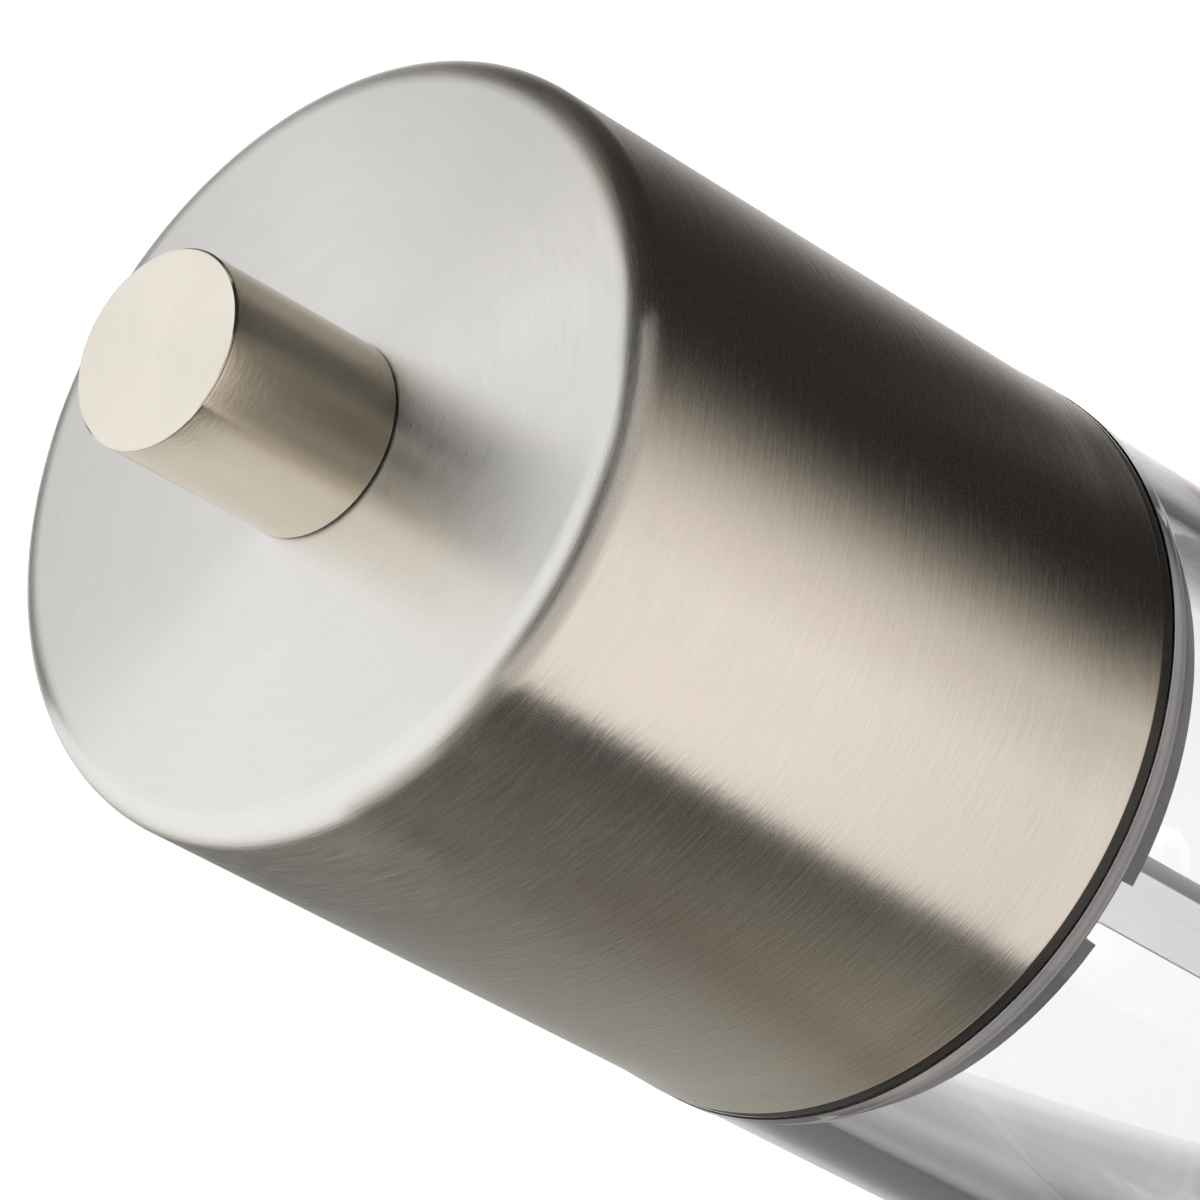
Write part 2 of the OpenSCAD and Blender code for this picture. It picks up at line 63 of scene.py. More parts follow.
shell_low, shell_high = node_box("cap_shell")
knob_low, knob_high = node_box("knob")
glide_low, glide_high = node_box("glide_ring")
seal_low, seal_high = node_box("seal_ring")
container_high = node_box("container")[1]
housing_low, housing_high = node_box("mill_housing")
retainer_low, retainer_high = node_box("retainer_ring")
shaft_low, shaft_high = node_box("shaft")
spring_low, spring_high = node_box("spring")


# Mesh tools: every mesh is made in millimetres and scaled down when it becomes a piece

# How far from the ends of a straight stretch its extra points lie
HOLD = 0.2


def held_straight(points):
    """The outline with points near the ends of its straight stretches, to shade them as straight."""
    held = []
    for point, after in zip(points, points[1:] + points[:1]):
        held.append(point)
        stretch = after - point
        if stretch.length > 4 * HOLD:
            short = stretch.normalized() * HOLD
            held += [point + short, after - short]
    return held


def rounded_outline(corners, steps=6):
    """The points of a closed outline from corners of (radius, height, rounding)."""
    points = []
    for i, (r, z, rounding) in enumerate(corners):
        corner = Vector((r, z))
        if rounding <= 0:
            points.append(corner)
            continue
        back = (Vector(corners[i - 1][:2]) - corner).normalized()
        ahead = (Vector(corners[(i + 1) % len(corners)][:2]) - corner).normalized()
        half = back.angle(ahead) / 2
        centre = corner + (back + ahead).normalized() * (rounding / math.sin(half))
        reach = rounding / math.tan(half)
        first = corner + back * reach - centre
        last = corner + ahead * reach - centre
        sweep = -first.angle_signed(last)
        for k in range(steps + 1):
            points.append(centre + Matrix.Rotation(sweep * k / steps, 2) @ first)
    return held_straight(points)


def mesh_from(work, name):
    """A mesh from a finished bmesh, with its faces turned outward."""
    bmesh.ops.recalc_face_normals(work, faces=work.faces)
    mesh = bpy.data.meshes.new(name)
    work.to_mesh(mesh)
    work.free()
    return mesh


def join_rings(work, ring, other):
    """Faces between two rings of points, either of which may be a single point."""
    count = max(len(ring), len(other))
    if count == 1:
        return
    for k in range(count):
        n = (k + 1) % count
        if len(ring) == 1:
            work.faces.new((ring[0], other[n], other[k]))
        elif len(other) == 1:
            work.faces.new((ring[k], ring[n], other[0]))
        else:
            work.faces.new((ring[k], ring[n], other[n], other[k]))


# A smaller radius than this is a single point on the axis
ON_AXIS = 1e-6


def turned_mesh(name, outline, segments):
    """A closed outline of (radius, height) points turned round the axis."""
    work = bmesh.new()
    angles = [TURN * k / segments for k in range(segments)]
    rings = []
    for r, z in outline:
        if r < ON_AXIS:
            rings.append([work.verts.new((0, 0, z))])
        else:
            rings.append([work.verts.new((r * math.cos(a), r * math.sin(a), z)) for a in angles])
    for ring, other in zip(rings, rings[1:] + rings[:1]):
        join_rings(work, ring, other)
    return mesh_from(work, name)


def skinned_mesh(name, sections):
    """A closed tube through sections of points, with flat ends."""
    work = bmesh.new()
    rings = [[work.verts.new(point) for point in section] for section in sections]
    for ring, other in zip(rings, rings[1:]):
        join_rings(work, ring, other)
    work.faces.new(rings[0])
    work.faces.new(rings[-1])
    return mesh_from(work, name)


def copied_mesh(name, mesh, places):
    """One mesh made of a copy of another at each place."""
    work = bmesh.new()
    for place in places:
        copy = mesh.copy()
        copy.transform(place)
        work.from_mesh(copy)
        bpy.data.meshes.remove(copy)
    return mesh_from(work, name)


SHARP_ANGLE = math.radians(30)


def new_piece(name, mesh):
    """A piece from a mesh in millimetres, smooth apart from its sharp edges."""
    mesh.transform(Matrix.Scale(MM, 4))
    mesh.shade_smooth()
    mesh.set_sharp_from_angle(angle=SHARP_ANGLE)
    piece = bpy.data.objects.new(name, mesh)
    bpy.context.scene.collection.objects.link(piece)
    return piece


def cut_mesh(mesh, cutter_mesh):
    """The mesh with the cutter taken out of it."""
    block = bpy.data.objects.new("block", mesh)
    cutter = bpy.data.objects.new("cutter", cutter_mesh)
    for part in (block, cutter):
        bpy.context.scene.collection.objects.link(part)
    cutting = block.modifiers.new("cut", "BOOLEAN")
    cutting.operation = "DIFFERENCE"
    cutting.solver = "EXACT"
    cutting.object = cutter
    shaped = block.evaluated_get(bpy.context.evaluated_depsgraph_get())
    result = bpy.data.meshes.new_from_object(shaped)
    for part in (block, cutter):
        bpy.data.objects.remove(part)
    return result


def stand_for(piece, replaced, material):
    """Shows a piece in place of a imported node, with its finish."""
    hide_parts(replaced)
    piece.data.materials.clear()
    piece.data.materials.append(material)


def dress(piece, body, replaced, material):
    """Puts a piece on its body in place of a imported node, with its finish."""
    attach(piece, body)
    stand_for(piece, replaced, material)


def ring_places(radius, height, count, first_degrees):
    """Places spaced evenly on a circle."""
    places = []
    for k in range(count):
        turn = Matrix.Rotation(math.radians(first_degrees) + TURN * k / count, 4, "Z")
        places.append(turn @ Matrix.Translation((radius, 0, height)))
    return places


# Shader tools

def add_node(tree, kind, inputs=None, **settings):
    """A shader node with its settings, and its inputs set or linked by name or number."""
    made = tree.nodes.new("ShaderNode" + kind)
    for key, value in settings.items():
        setattr(made, key, value)
    for key, value in (inputs or {}).items():
        if isinstance(value, bpy.types.NodeSocket):
            tree.links.new(value, made.inputs[key])
        else:
            made.inputs[key].default_value = value
    return made


def calc(tree, operation, first, second=0.0):
    """The result of a Math node."""
    return add_node(tree, "Math", {0: first, 1: second}, operation=operation).outputs[0]


def remap(tree, value, low, high, new_low, new_high):
    """A value carried from one range to another, held at its ends."""
    made = add_node(tree, "MapRange", {0: value, 1: low, 2: high, 3: new_low, 4: new_high})
    return made.outputs[0]


# The numbers of a Mix node's sockets for colours
MIX_FIRST = 6
MIX_SECOND = 7
MIX_COLOUR = 2


def mixed(tree, share, first, second, blend_type="MIX"):
    """A colour between two colours, or the first one blended with a share of the second."""
    made = add_node(tree, "Mix", {0: share, MIX_FIRST: first, MIX_SECOND: second},
                    data_type="RGBA", blend_type=blend_type)
    return made.outputs[MIX_COLOUR]


def new_group(name, inputs, outputs):
    """A shader node group with number inputs and outputs."""
    group = bpy.data.node_groups.new(name, "ShaderNodeTree")
    for label, value in inputs.items():
        socket = group.interface.new_socket(label, in_out="INPUT", socket_type="NodeSocketFloat")
        socket.default_value = value
    for label in outputs:
        group.interface.new_socket(label, in_out="OUTPUT", socket_type="NodeSocketFloat")
    given = group.nodes.new("NodeGroupInput").outputs
    result = group.nodes.new("NodeGroupOutput").inputs
    return group, given, result


def use_group(tree, group, **values):
    """A node group placed in a material with its own values; returns its outputs."""
    made = tree.nodes.new("ShaderNodeGroup")
    made.node_tree = group
    for label, value in values.items():
        made.inputs[label.replace("_", " ")].default_value = value
    return made.outputs


def new_material(name, **constants):
    """A material with one Principled shader and the values that are the same all over it."""
    material = bpy.data.materials.new(name)
    material.use_nodes = True
    shader = material.node_tree.nodes["Principled BSDF"]
    for label, value in constants.items():
        shader.inputs[label.replace("_", " ")].default_value = value
    return material, material.node_tree, shader


def feed(tree, shader, **links):
    """Links values that change over the surface to the shader."""
    for label, value in links.items():
        tree.links.new(value, shader.inputs[label.replace("_", " ")])


def bumped(tree, height, distance, normal=None):
    """A normal tilted by a height that changes over the surface."""
    inputs = {"Height": height, "Distance": distance, "Strength": 1.0}
    if normal is not None:
        inputs["Normal"] = normal
    return add_node(tree, "Bump", inputs).outputs[0]


# Keeps the division by the radius off zero on the axis
SMALLEST_RADIUS = 0.00002
SWAYS_PER_METRE = 130.0


def turned_streaks_group():
    """Streaks that run round the axis, on the side and on the flat top alike."""
    group, given, result = new_group(
        "turned streaks",
        {"Strokes": 4.0, "Lines per metre": 2500.0, "Offset": 0.0, "Sway": 0.0}, ["Streaks"])
    spot = add_node(group, "TexCoord").outputs["Object"]
    part = add_node(group, "SeparateXYZ", {0: spot}).outputs
    flat = add_node(group, "CombineXYZ", {0: part[0], 1: part[1]}).outputs[0]
    radius = add_node(group, "VectorMath", {0: flat}, operation="LENGTH").outputs["Value"]
    radius = calc(group, "MAXIMUM", radius, SMALLEST_RADIUS)
    across = calc(group, "MULTIPLY", calc(group, "DIVIDE", part[0], radius), given["Strokes"])
    along = calc(group, "MULTIPLY", calc(group, "DIVIDE", part[1], radius), given["Strokes"])
    sway = add_node(group, "TexNoise", {"Vector": spot, "Scale": SWAYS_PER_METRE, "Detail": 1.0}).outputs[0]
    drift = calc(group, "MULTIPLY", calc(group, "SUBTRACT", sway, 0.5), given["Sway"])
    step = calc(group, "ADD", calc(group, "SUBTRACT", part[2], radius), drift)
    row = calc(group, "MULTIPLY", step, given["Lines per metre"])
    place = add_node(group, "CombineXYZ", {0: across, 1: along, 2: row}).outputs[0]
    noise = add_node(group, "TexNoise", {"Vector": place, "W": given["Offset"], "Scale": 1.0,
                                         "Detail": 2.0, "Roughness": 0.6},
                     noise_dimensions="4D")
    group.links.new(noise.outputs[0], result["Streaks"])
    return group


def drawn_lines_group():
    """Fine lines along the axis, as on drawn bar."""
    group, given, result = new_group(
        "drawn lines", {"Lines per metre": 4000.0, "Length": 60.0}, ["Lines"])
    spot = add_node(group, "TexCoord").outputs["Object"]
    part = add_node(group, "SeparateXYZ", {0: spot}).outputs
    place = add_node(group, "CombineXYZ", {
        0: calc(group, "MULTIPLY", part[0], given["Lines per metre"]),
        1: calc(group, "MULTIPLY", part[1], given["Lines per metre"]),
        2: calc(group, "MULTIPLY", part[2], given["Length"])}).outputs[0]
    noise = add_node(group, "TexNoise", {"Vector": place, "Scale": 1.0, "Detail": 3.0,
                                         "Roughness": 0.65})
    group.links.new(noise.outputs[0], result["Lines"])
    return group


def grain_group():
    """Fine moulded or blasted grain, and slow cloudy patches from handling."""
    group, given, result = new_group(
        "grain and patches", {"Grains per metre": 3000.0, "Patches per metre": 60.0},
        ["Grain", "Patches"])
    spot = add_node(group, "TexCoord").outputs["Object"]
    fine = add_node(group, "TexNoise", {"Vector": spot, "Scale": given["Grains per metre"],
                                        "Detail": 2.0, "Roughness": 0.55})
    slow = add_node(group, "TexNoise", {"Vector": spot, "Scale": given["Patches per metre"],
                                        "Detail": 4.0, "Roughness": 0.6})
    group.links.new(fine.outputs[0], result["Grain"])
    group.links.new(slow.outputs[0], result["Patches"])
    return group


def worn_edge_group():
    """A mask of the outer and inner edges, where finish is rubbed off or dirt stays."""
    group, given, result = new_group(
        "worn edges", {"Width": 0.0003, "Grains per metre": 900.0}, ["Edge"])
    soft = add_node(group, "Bevel", {"Radius": given["Width"]}, samples=6).outputs[0]
    sharp = add_node(group, "NewGeometry").outputs["Normal"]
    agree = add_node(group, "VectorMath", {0: soft, 1: sharp}, operation="DOT_PRODUCT")
    edge = remap(group, agree.outputs["Value"], 0.99, 0.8, 0.0, 1.0)
    spot = add_node(group, "TexCoord").outputs["Object"]
    break_up = add_node(group, "TexNoise", {"Vector": spot, "Scale": given["Grains per metre"],
                                            "Detail": 3.0})
    share = remap(group, break_up.outputs[0], 0.3, 0.6, 0.35, 1.0)
    group.links.new(calc(group, "MULTIPLY", edge, share), result["Edge"])
    return group


def crown_group():
    """The height of a top that pressing has left very slightly domed."""
    group, given, result = new_group("pressed crown", {"Radius": 0.7}, ["Height"])
    part = add_node(group, "SeparateXYZ", {0: add_node(group, "TexCoord").outputs["Object"]}).outputs
    square = calc(group, "ADD", calc(group, "MULTIPLY", part[0], part[0]),
                  calc(group, "MULTIPLY", part[1], part[1]))
    drop = calc(group, "DIVIDE", square, calc(group, "MULTIPLY", given["Radius"], -2.0))
    group.links.new(drop, result["Height"])
    return group


TURNED_STREAKS = turned_streaks_group()
CROWN = crown_group()
DRAWN_LINES = drawn_lines_group()
GRAIN = grain_group()
WORN_EDGES = worn_edge_group()


# Finishes

def brushed_steel(name, dark, light, painted_side_shade, side_roughness, top_roughness,
                  scratch_depth, crown_radius=None):
    """Stainless steel brushed round the axis: fine lines, short scratches on the side, and a tint that
    paints shade on the side.
    """
    material, tree, shader = new_material(
        name, Metallic=1.0, Anisotropic=0.9, Anisotropic_Rotation=0.25)
    broad = use_group(tree, TURNED_STREAKS, Strokes=3.0, Lines_per_metre=600.0)["Streaks"]
    fine = use_group(
        tree, TURNED_STREAKS, Strokes=8.0, Lines_per_metre=5200.0, Offset=4.0)["Streaks"]
    short = use_group(
        tree, TURNED_STREAKS, Strokes=9.0, Lines_per_metre=2600.0, Offset=9.0, Sway=0.0006)["Streaks"]
    patches = use_group(tree, GRAIN, Patches_per_metre=45.0)["Patches"]
    facing = add_node(tree, "SeparateXYZ", {0: add_node(tree, "TexCoord").outputs["Normal"]})
    upright = calc(tree, "ABSOLUTE", facing.outputs[2])
    side = calc(tree, "SUBTRACT", 1.0, upright)
    scratches = calc(tree, "MULTIPLY", remap(tree, short, 0.4, 0.72, 0.0, 1.0), side)
    shade = calc(tree, "ADD", calc(tree, "MULTIPLY", fine, 0.7), calc(tree, "MULTIPLY", broad, 0.3))
    shade = calc(tree, "ADD", shade, calc(tree, "MULTIPLY", scratches, 0.15))
    colour = mixed(tree, remap(tree, shade, 0.3, 0.8, 0.0, 1.0), dark, light)
    # Painted shade: the side's colour is multiplied by a tint, darker and warmer than the top
    colour = mixed(tree, side, colour, painted_side_shade, "MULTIPLY")
    uneven = calc(tree, "ADD", calc(tree, "MULTIPLY", fine, 0.6), calc(tree, "MULTIPLY", patches, 0.4))
    rough = remap(tree, upright, 0.94, 0.995, side_roughness, top_roughness)
    rough = calc(tree, "ADD", rough, remap(tree, uneven, 0.3, 0.7, -0.05, 0.05))
    height = calc(tree, "ADD", calc(tree, "MULTIPLY", fine, 0.1), scratches)
    normal = None
    if crown_radius:
        normal = bumped(tree, use_group(tree, CROWN, Radius=crown_radius)["Height"], 1.0)
    feed(tree, shader, Base_Color=colour, Roughness=rough,
         Normal=bumped(tree, height, scratch_depth, normal=normal),
         Tangent=add_node(tree, "Tangent", direction_type="RADIAL", axis="Z").outputs[0])
    return material


def clear_acrylic():
    """Polished clear acrylic with faint handling marks."""
    material, tree, shader = new_material(
        "clear acrylic", Base_Color=(0.985, 0.99, 0.995, 1), Transmission_Weight=1.0, IOR=1.49)
    patches = use_group(tree, GRAIN, Patches_per_metre=90.0)["Patches"]
    feed(tree, shader, Roughness=remap(tree, patches, 0.45, 0.75, 0.005, 0.05))
    return material


def black_plastic(name, colour, worn, roughness, grains):
    """Moulded black plastic, greyer where it is rubbed, its roughness changing in patches."""
    material, tree, shader = new_material(name, Specular_IOR_Level=0.45)
    marks = use_group(tree, GRAIN, Grains_per_metre=grains, Patches_per_metre=120.0)
    edge = use_group(tree, WORN_EDGES, Width=0.0002)["Edge"]
    shade = calc(tree, "MAXIMUM", edge, remap(tree, marks["Patches"], 0.5, 0.8, 0.0, 0.5))
    rough = remap(tree, marks["Patches"], 0.3, 0.7, roughness - 0.06, roughness + 0.08)
    feed(tree, shader, Base_Color=mixed(tree, shade, colour, worn), Roughness=rough,
         Normal=bumped(tree, marks["Grain"], 0.00003))
    return material


def smoky_silicone():
    """Translucent grey silicone with a satin skin, and painted shade darkening its two edges."""
    material, tree, shader = new_material(
        "smoky silicone", Subsurface_Weight=0.3, Subsurface_Scale=0.001, Specular_IOR_Level=0.5)
    marks = use_group(tree, GRAIN, Grains_per_metre=2500.0, Patches_per_metre=200.0)
    colour = mixed(tree, marks["Patches"], (0.27, 0.24, 0.235, 1), (0.40, 0.365, 0.355, 1))
    place = add_node(tree, "SeparateXYZ", {0: add_node(tree, "TexCoord").outputs["Generated"]})
    off_middle = calc(tree, "ABSOLUTE", calc(tree, "SUBTRACT", place.outputs[2], 0.5))
    # Painted shade: the colour darkens towards the ring's top and bottom edges
    colour = mixed(tree, remap(tree, off_middle, 0.08, 0.34, 0.0, 1.0), colour, (0.05, 0.04, 0.038, 1))
    rough = remap(tree, marks["Patches"], 0.3, 0.7, 0.36, 0.5)
    feed(tree, shader, Base_Color=colour, Roughness=rough, Normal=bumped(tree, marks["Grain"], 0.00001))
    return material


def drawn_aluminium():
    """Square bar with the fine lines of the die along it."""
    material, tree, shader = new_material("drawn aluminium", Metallic=1.0)
    lines = use_group(tree, DRAWN_LINES, Lines_per_metre=5200.0, Length=40.0)["Lines"]
    patches = use_group(tree, GRAIN, Patches_per_metre=110.0)["Patches"]
    edge = use_group(tree, WORN_EDGES, Width=0.0002)["Edge"]
    share = remap(tree, lines, 0.3, 0.7, 0.0, 1.0)
    colour = mixed(tree, share, (0.75, 0.745, 0.745, 1), (0.81, 0.805, 0.80, 1))
    colour = mixed(tree, edge, colour, (0.92, 0.92, 0.93, 1))
    rough = calc(tree, "ADD", calc(tree, "MULTIPLY", lines, 0.2), calc(tree, "MULTIPLY", patches, 0.16))
    feed(tree, shader, Base_Color=colour, Roughness=calc(tree, "ADD", rough, 0.16),
         Normal=bumped(tree, lines, 0.000008))
    return material


def ground_tool_steel():
    """Hardened grey steel, bright where the teeth are ground."""
    material, tree, shader = new_material("ground tool steel", Metallic=1.0)
    marks = use_group(tree, GRAIN, Grains_per_metre=2600.0, Patches_per_metre=150.0)
    edge = use_group(tree, WORN_EDGES, Width=0.00025)["Edge"]
    colour = mixed(tree, marks["Patches"], (0.34, 0.34, 0.36, 1), (0.55, 0.55, 0.56, 1))
    colour = mixed(tree, edge, colour, (0.78, 0.78, 0.78, 1))
    rough = remap(tree, marks["Grain"], 0.3, 0.7, 0.30, 0.46)
    feed(tree, shader, Base_Color=colour, Roughness=rough, Normal=bumped(tree, marks["Grain"], 0.00002))
    return material


def plated_steel():
    """Zinc plated steel with a cloudy bright skin."""
    material, tree, shader = new_material("plated steel", Metallic=1.0)
    marks = use_group(tree, GRAIN, Grains_per_metre=3000.0, Patches_per_metre=260.0)
    edge = use_group(tree, WORN_EDGES, Width=0.0002)["Edge"]
    colour = mixed(tree, marks["Patches"], (0.62, 0.63, 0.66, 1), (0.82, 0.82, 0.83, 1))
    colour = mixed(tree, edge, colour, (0.90, 0.90, 0.90, 1))
    rough = remap(tree, marks["Patches"], 0.3, 0.7, 0.20, 0.36)
    feed(tree, shader, Base_Color=colour, Roughness=rough, Normal=bumped(tree, marks["Grain"], 0.00001))
    return material


def natural_nylon():
    """Uncoloured nylon, cream and faintly waxy."""
    material, tree, shader = new_material(
        "natural nylon", Subsurface_Weight=0.2, Subsurface_Scale=0.0008)
    marks = use_group(tree, GRAIN, Grains_per_metre=2200.0, Patches_per_metre=180.0)
    edge = use_group(tree, WORN_EDGES, Width=0.0003)["Edge"]
    colour = mixed(tree, marks["Patches"], (0.74, 0.71, 0.63, 1), (0.86, 0.84, 0.77, 1))
    colour = mixed(tree, edge, colour, (0.92, 0.91, 0.86, 1))
    rough = remap(tree, marks["Patches"], 0.3, 0.7, 0.38, 0.55)
    feed(tree, shader, Base_Color=colour, Roughness=rough, Normal=bumped(tree, marks["Grain"], 0.00002))
    return material


CAP_STEEL = brushed_steel(
    "brushed cap steel", dark=(0.79, 0.775, 0.75, 1), light=(0.87, 0.855, 0.835, 1),
    painted_side_shade=(1, 1, 1, 1), side_roughness=0.26, top_roughness=0.31,
    scratch_depth=0.000008, crown_radius=0.7)
# The knob's side tint is painted shade, darker and warmer than its top
KNOB_STEEL = brushed_steel(
    "turned knob steel", dark=(0.82, 0.77, 0.685, 1), light=(0.89, 0.84, 0.75, 1),
    painted_side_shade=(0.885, 0.86, 0.805, 1), side_roughness=0.14, top_roughness=0.23,
    scratch_depth=0.000003)
CLEAR_ACRYLIC = clear_acrylic()
BLACK_CORE = black_plastic(
    "black core plastic", colour=(0.022, 0.022, 0.024, 1), worn=(0.07, 0.07, 0.072, 1),
    roughness=0.42, grains=2600.0)
BLACK_GLIDE = black_plastic(
    "black glide plastic", colour=(0.018, 0.017, 0.017, 1), worn=(0.06, 0.055, 0.052, 1),
    roughness=0.36, grains=3400.0)
SMOKY_SILICONE = smoky_silicone()
DRAWN_ALUMINIUM = drawn_aluminium()
TOOL_STEEL = ground_tool_steel()
PLATED_STEEL = plated_steel()
NATURAL_NYLON = natural_nylon()


# Pieces

ROUND_SIDES = 256
KNOB_SIDES = 160
SCREW_SIDES = 48
DRILL_SIDES = 24

THREAD_R = 2.5
CAP_SHEET = 0.7
CAP_FLARE = 0.2
CAP_FLARE_H = 4.0
CAP_EDGE_R = 2.3
CAP_FLARE_SWEEP_R = 40.0
CLEAR_FIT = 0.3


def make_cap_shell():
    """The drawn cap: flat top, rounded edge, straight side and a slightly flared rim."""
    rim_r = shell_high.x
    cap_r = rim_r - CAP_FLARE
    inner_r = cap_r - CAP_SHEET
    bottom = shell_low.z
    top = shell_high.z
    hole_r = THREAD_R + CLEAR_FIT
    corners = [
        (rim_r - CAP_SHEET, bottom, 0.1),
        (rim_r, bottom, 0.22),
        (cap_r, bottom + CAP_FLARE_H, CAP_FLARE_SWEEP_R),
        (cap_r, top, CAP_EDGE_R),
        (hole_r, top, 0.12),
        (hole_r, top - CAP_SHEET, 0.1),
        (inner_r, top - CAP_SHEET, CAP_EDGE_R - CAP_SHEET),
        (inner_r, bottom + CAP_FLARE_H, CAP_FLARE_SWEEP_R),
    ]
    mesh = turned_mesh("cap_shell_skin", rounded_outline(corners, steps=10), ROUND_SIDES)
    dress(new_piece("cap_shell_skin", mesh), "cap", "cap_shell", CAP_STEEL)


THREAD_FIT = 0.05
KNOB_CHAMFER = 0.15
KNOB_FOOT_CHAMFER = 0.1
KNOB_LID = 3.2


def make_knob():
    """The turned knob, chamfered at both ends, with its threaded hole."""
    r = knob_high.x
    low = knob_low.z
    top = knob_high.z
    bore_r = THREAD_R + THREAD_FIT
    corners = [
        (bore_r, low, 0),
        (r - KNOB_FOOT_CHAMFER, low, 0.03),
        (r, low + KNOB_FOOT_CHAMFER, 0.03),
        (r, top - KNOB_CHAMFER, 0.05),
        (r - KNOB_CHAMFER, top, 0.05),
        (0, top, 0),
        (0, top - KNOB_LID, 0),
        (bore_r, top - KNOB_LID, 0),
    ]
    mesh = turned_mesh("knob_turned", rounded_outline(corners, steps=4), KNOB_SIDES)
    dress(new_piece("knob_turned", mesh), "knob", "knob", KNOB_STEEL)


GLIDE_WIDTH = 3.3
SEAL_DEPTH = 1.15


def make_rings():
    """The black glide ring on the rim, and the grey seal in the mouth."""
    corners = [
        (glide_high.x - GLIDE_WIDTH, glide_low.z, 0.1),
        (glide_high.x, glide_low.z, 0.12),
        (glide_high.x, glide_high.z, 0.12),
        (glide_high.x - GLIDE_WIDTH, glide_high.z, 0.1),
    ]
    mesh = turned_mesh("glide_ring_moulded", rounded_outline(corners), ROUND_SIDES)
    dress(new_piece("glide_ring_moulded", mesh), "cap", "glide_ring", BLACK_GLIDE)
    corners = [
        (seal_high.x - SEAL_DEPTH, seal_low.z, 0.12),
        (seal_high.x, seal_low.z, 0.4),
        (seal_high.x, seal_high.z, 0.4),
        (seal_high.x - SEAL_DEPTH, seal_high.z, 0.12),
    ]
    mesh = turned_mesh("seal_ring_soft", rounded_outline(corners), ROUND_SIDES)
    dress(new_piece("seal_ring_soft", mesh), "cap", "seal_ring", SMOKY_SILICONE)


WALL = 3.0
BEAD = 0.2
BEAD_H = 1.2
RIM_ROUND = 0.15
MOUTH_CHAMFER = 0.5
FOOT_CHAMFER = 0.6
FUNNEL_H = 6.0
THROAT_H = 2.0
LEDGE = 3.0
SEAT_FIT = 0.1
DRILL_START = 1.0
RETAINER_SCREWS = 3
RETAINER_SCREW_R = 22.5
RETAINER_SCREW_D = 2.2
RETAINER_HOLE_H = 9.0
RETAINER_FIRST = 30.0


def make_container():
    """The clear container: chamber, sloping floor, throat, and the seat of the grinding unit."""
    rim = container_high.z
    bead_r = container_high.x
    r = bead_r - BEAD
    chamber_r = r - WALL
    unit_r = housing_high.x + SEAT_FIT
    throat_r = unit_r - LEDGE
    recess_r = retainer_high.x + SEAT_FIT
    seat = housing_low.z
    ledge = housing_high.z
    throat = ledge + THROAT_H
    funnel = throat + FUNNEL_H
    corners = [
        (recess_r, 0, 0.2),
        (r - FOOT_CHAMFER, 0, 0.15),
        (r, FOOT_CHAMFER, 0.3),
        (r, rim - BEAD_H - 2 * BEAD, 1.0),
        (bead_r, rim - BEAD_H, 0.3),
        (bead_r, rim, RIM_ROUND),
        (chamber_r + MOUTH_CHAMFER, rim, 0.1),
        (chamber_r, rim - MOUTH_CHAMFER, 0.15),
        (chamber_r, funnel, 1.0),
        (throat_r, throat, 0.6),
        (throat_r, ledge, 0.15),
        (unit_r, ledge, 0.1),
        (unit_r, seat, 0.1),
        (recess_r, seat, 0.2),
    ]
    mesh = turned_mesh("container_clear", rounded_outline(corners), ROUND_SIDES)
    hole_r = (RETAINER_SCREW_D + SEAT_FIT) / 2
    outline = [
        (0, -DRILL_START),
        (hole_r, -DRILL_START),
        (hole_r, RETAINER_HOLE_H),
        (0, RETAINER_HOLE_H),
    ]
    drill = turned_mesh("drill", outline, DRILL_SIDES)
    places = ring_places(RETAINER_SCREW_R, seat, RETAINER_SCREWS, RETAINER_FIRST)
    holes = copied_mesh("holes", drill, places)
    piece = new_piece("container_clear", cut_mesh(mesh, holes))
    dress(piece, "body", "container", CLEAR_ACRYLIC)


SHAFT_SIDE = 5.0
SHAFT_CORNER = 0.4
SHAFT_CORNER_STEPS = 4
SHAFT_DEGREES = -7.5
SHAFT_TURN = Matrix.Rotation(math.radians(SHAFT_DEGREES), 3, "Z")
SHAFT_FOOT_TAPER = 0.4
SHAFT_FOOT_H = 0.3
SHAFT_SHOULDER_TAPER = 0.7
SHAFT_SHOULDER_H = 0.6
SHAFT_SHOULDER_DROP = 2.1
SHAFT_SQUARE_TOP = shell_high.z - SHAFT_SHOULDER_DROP
THREAD_PITCH = 0.8
THREAD_DEPTH = 0.42
THREAD_SLOPE = 2.4
THREAD_CREST = 0.1
THREAD_OVERLAP = 1.0
THREAD_ROWS = 8
THREAD_SIDES = 48


def square_section(side, corner, height):
    """The outline of a square bar with rounded corners."""
    inset = side / 2 - corner
    points = []
    for quarter in range(4):
        mid = TURN * (quarter + 0.5) / 4
        for k in range(SHAFT_CORNER_STEPS + 1):
            a = TURN * (quarter + k / SHAFT_CORNER_STEPS) / 4
            x = math.copysign(inset, math.cos(mid)) + corner * math.cos(a)
            y = math.copysign(inset, math.sin(mid)) + corner * math.sin(a)
            points.append(SHAFT_TURN @ Vector((x, y, height)))
    return points


def thread_section(height, low, top):
    """One level of the threaded end, whose ridge climbs one pitch each turn."""
    points = []
    end = min(height - low, top - height)
    limit = THREAD_R - THREAD_DEPTH * max(0.0, 1.0 - end / THREAD_PITCH)
    for k in range(THREAD_SIDES):
        phase = (height / THREAD_PITCH - k / THREAD_SIDES) % 1.0
        groove = min(1.0, max(0.0, THREAD_SLOPE * abs(phase - 0.5) - THREAD_CREST))
        r = min(limit, THREAD_R - THREAD_DEPTH * groove)
        a = TURN * k / THREAD_SIDES
        points.append((r * math.cos(a), r * math.sin(a), height))
    return points


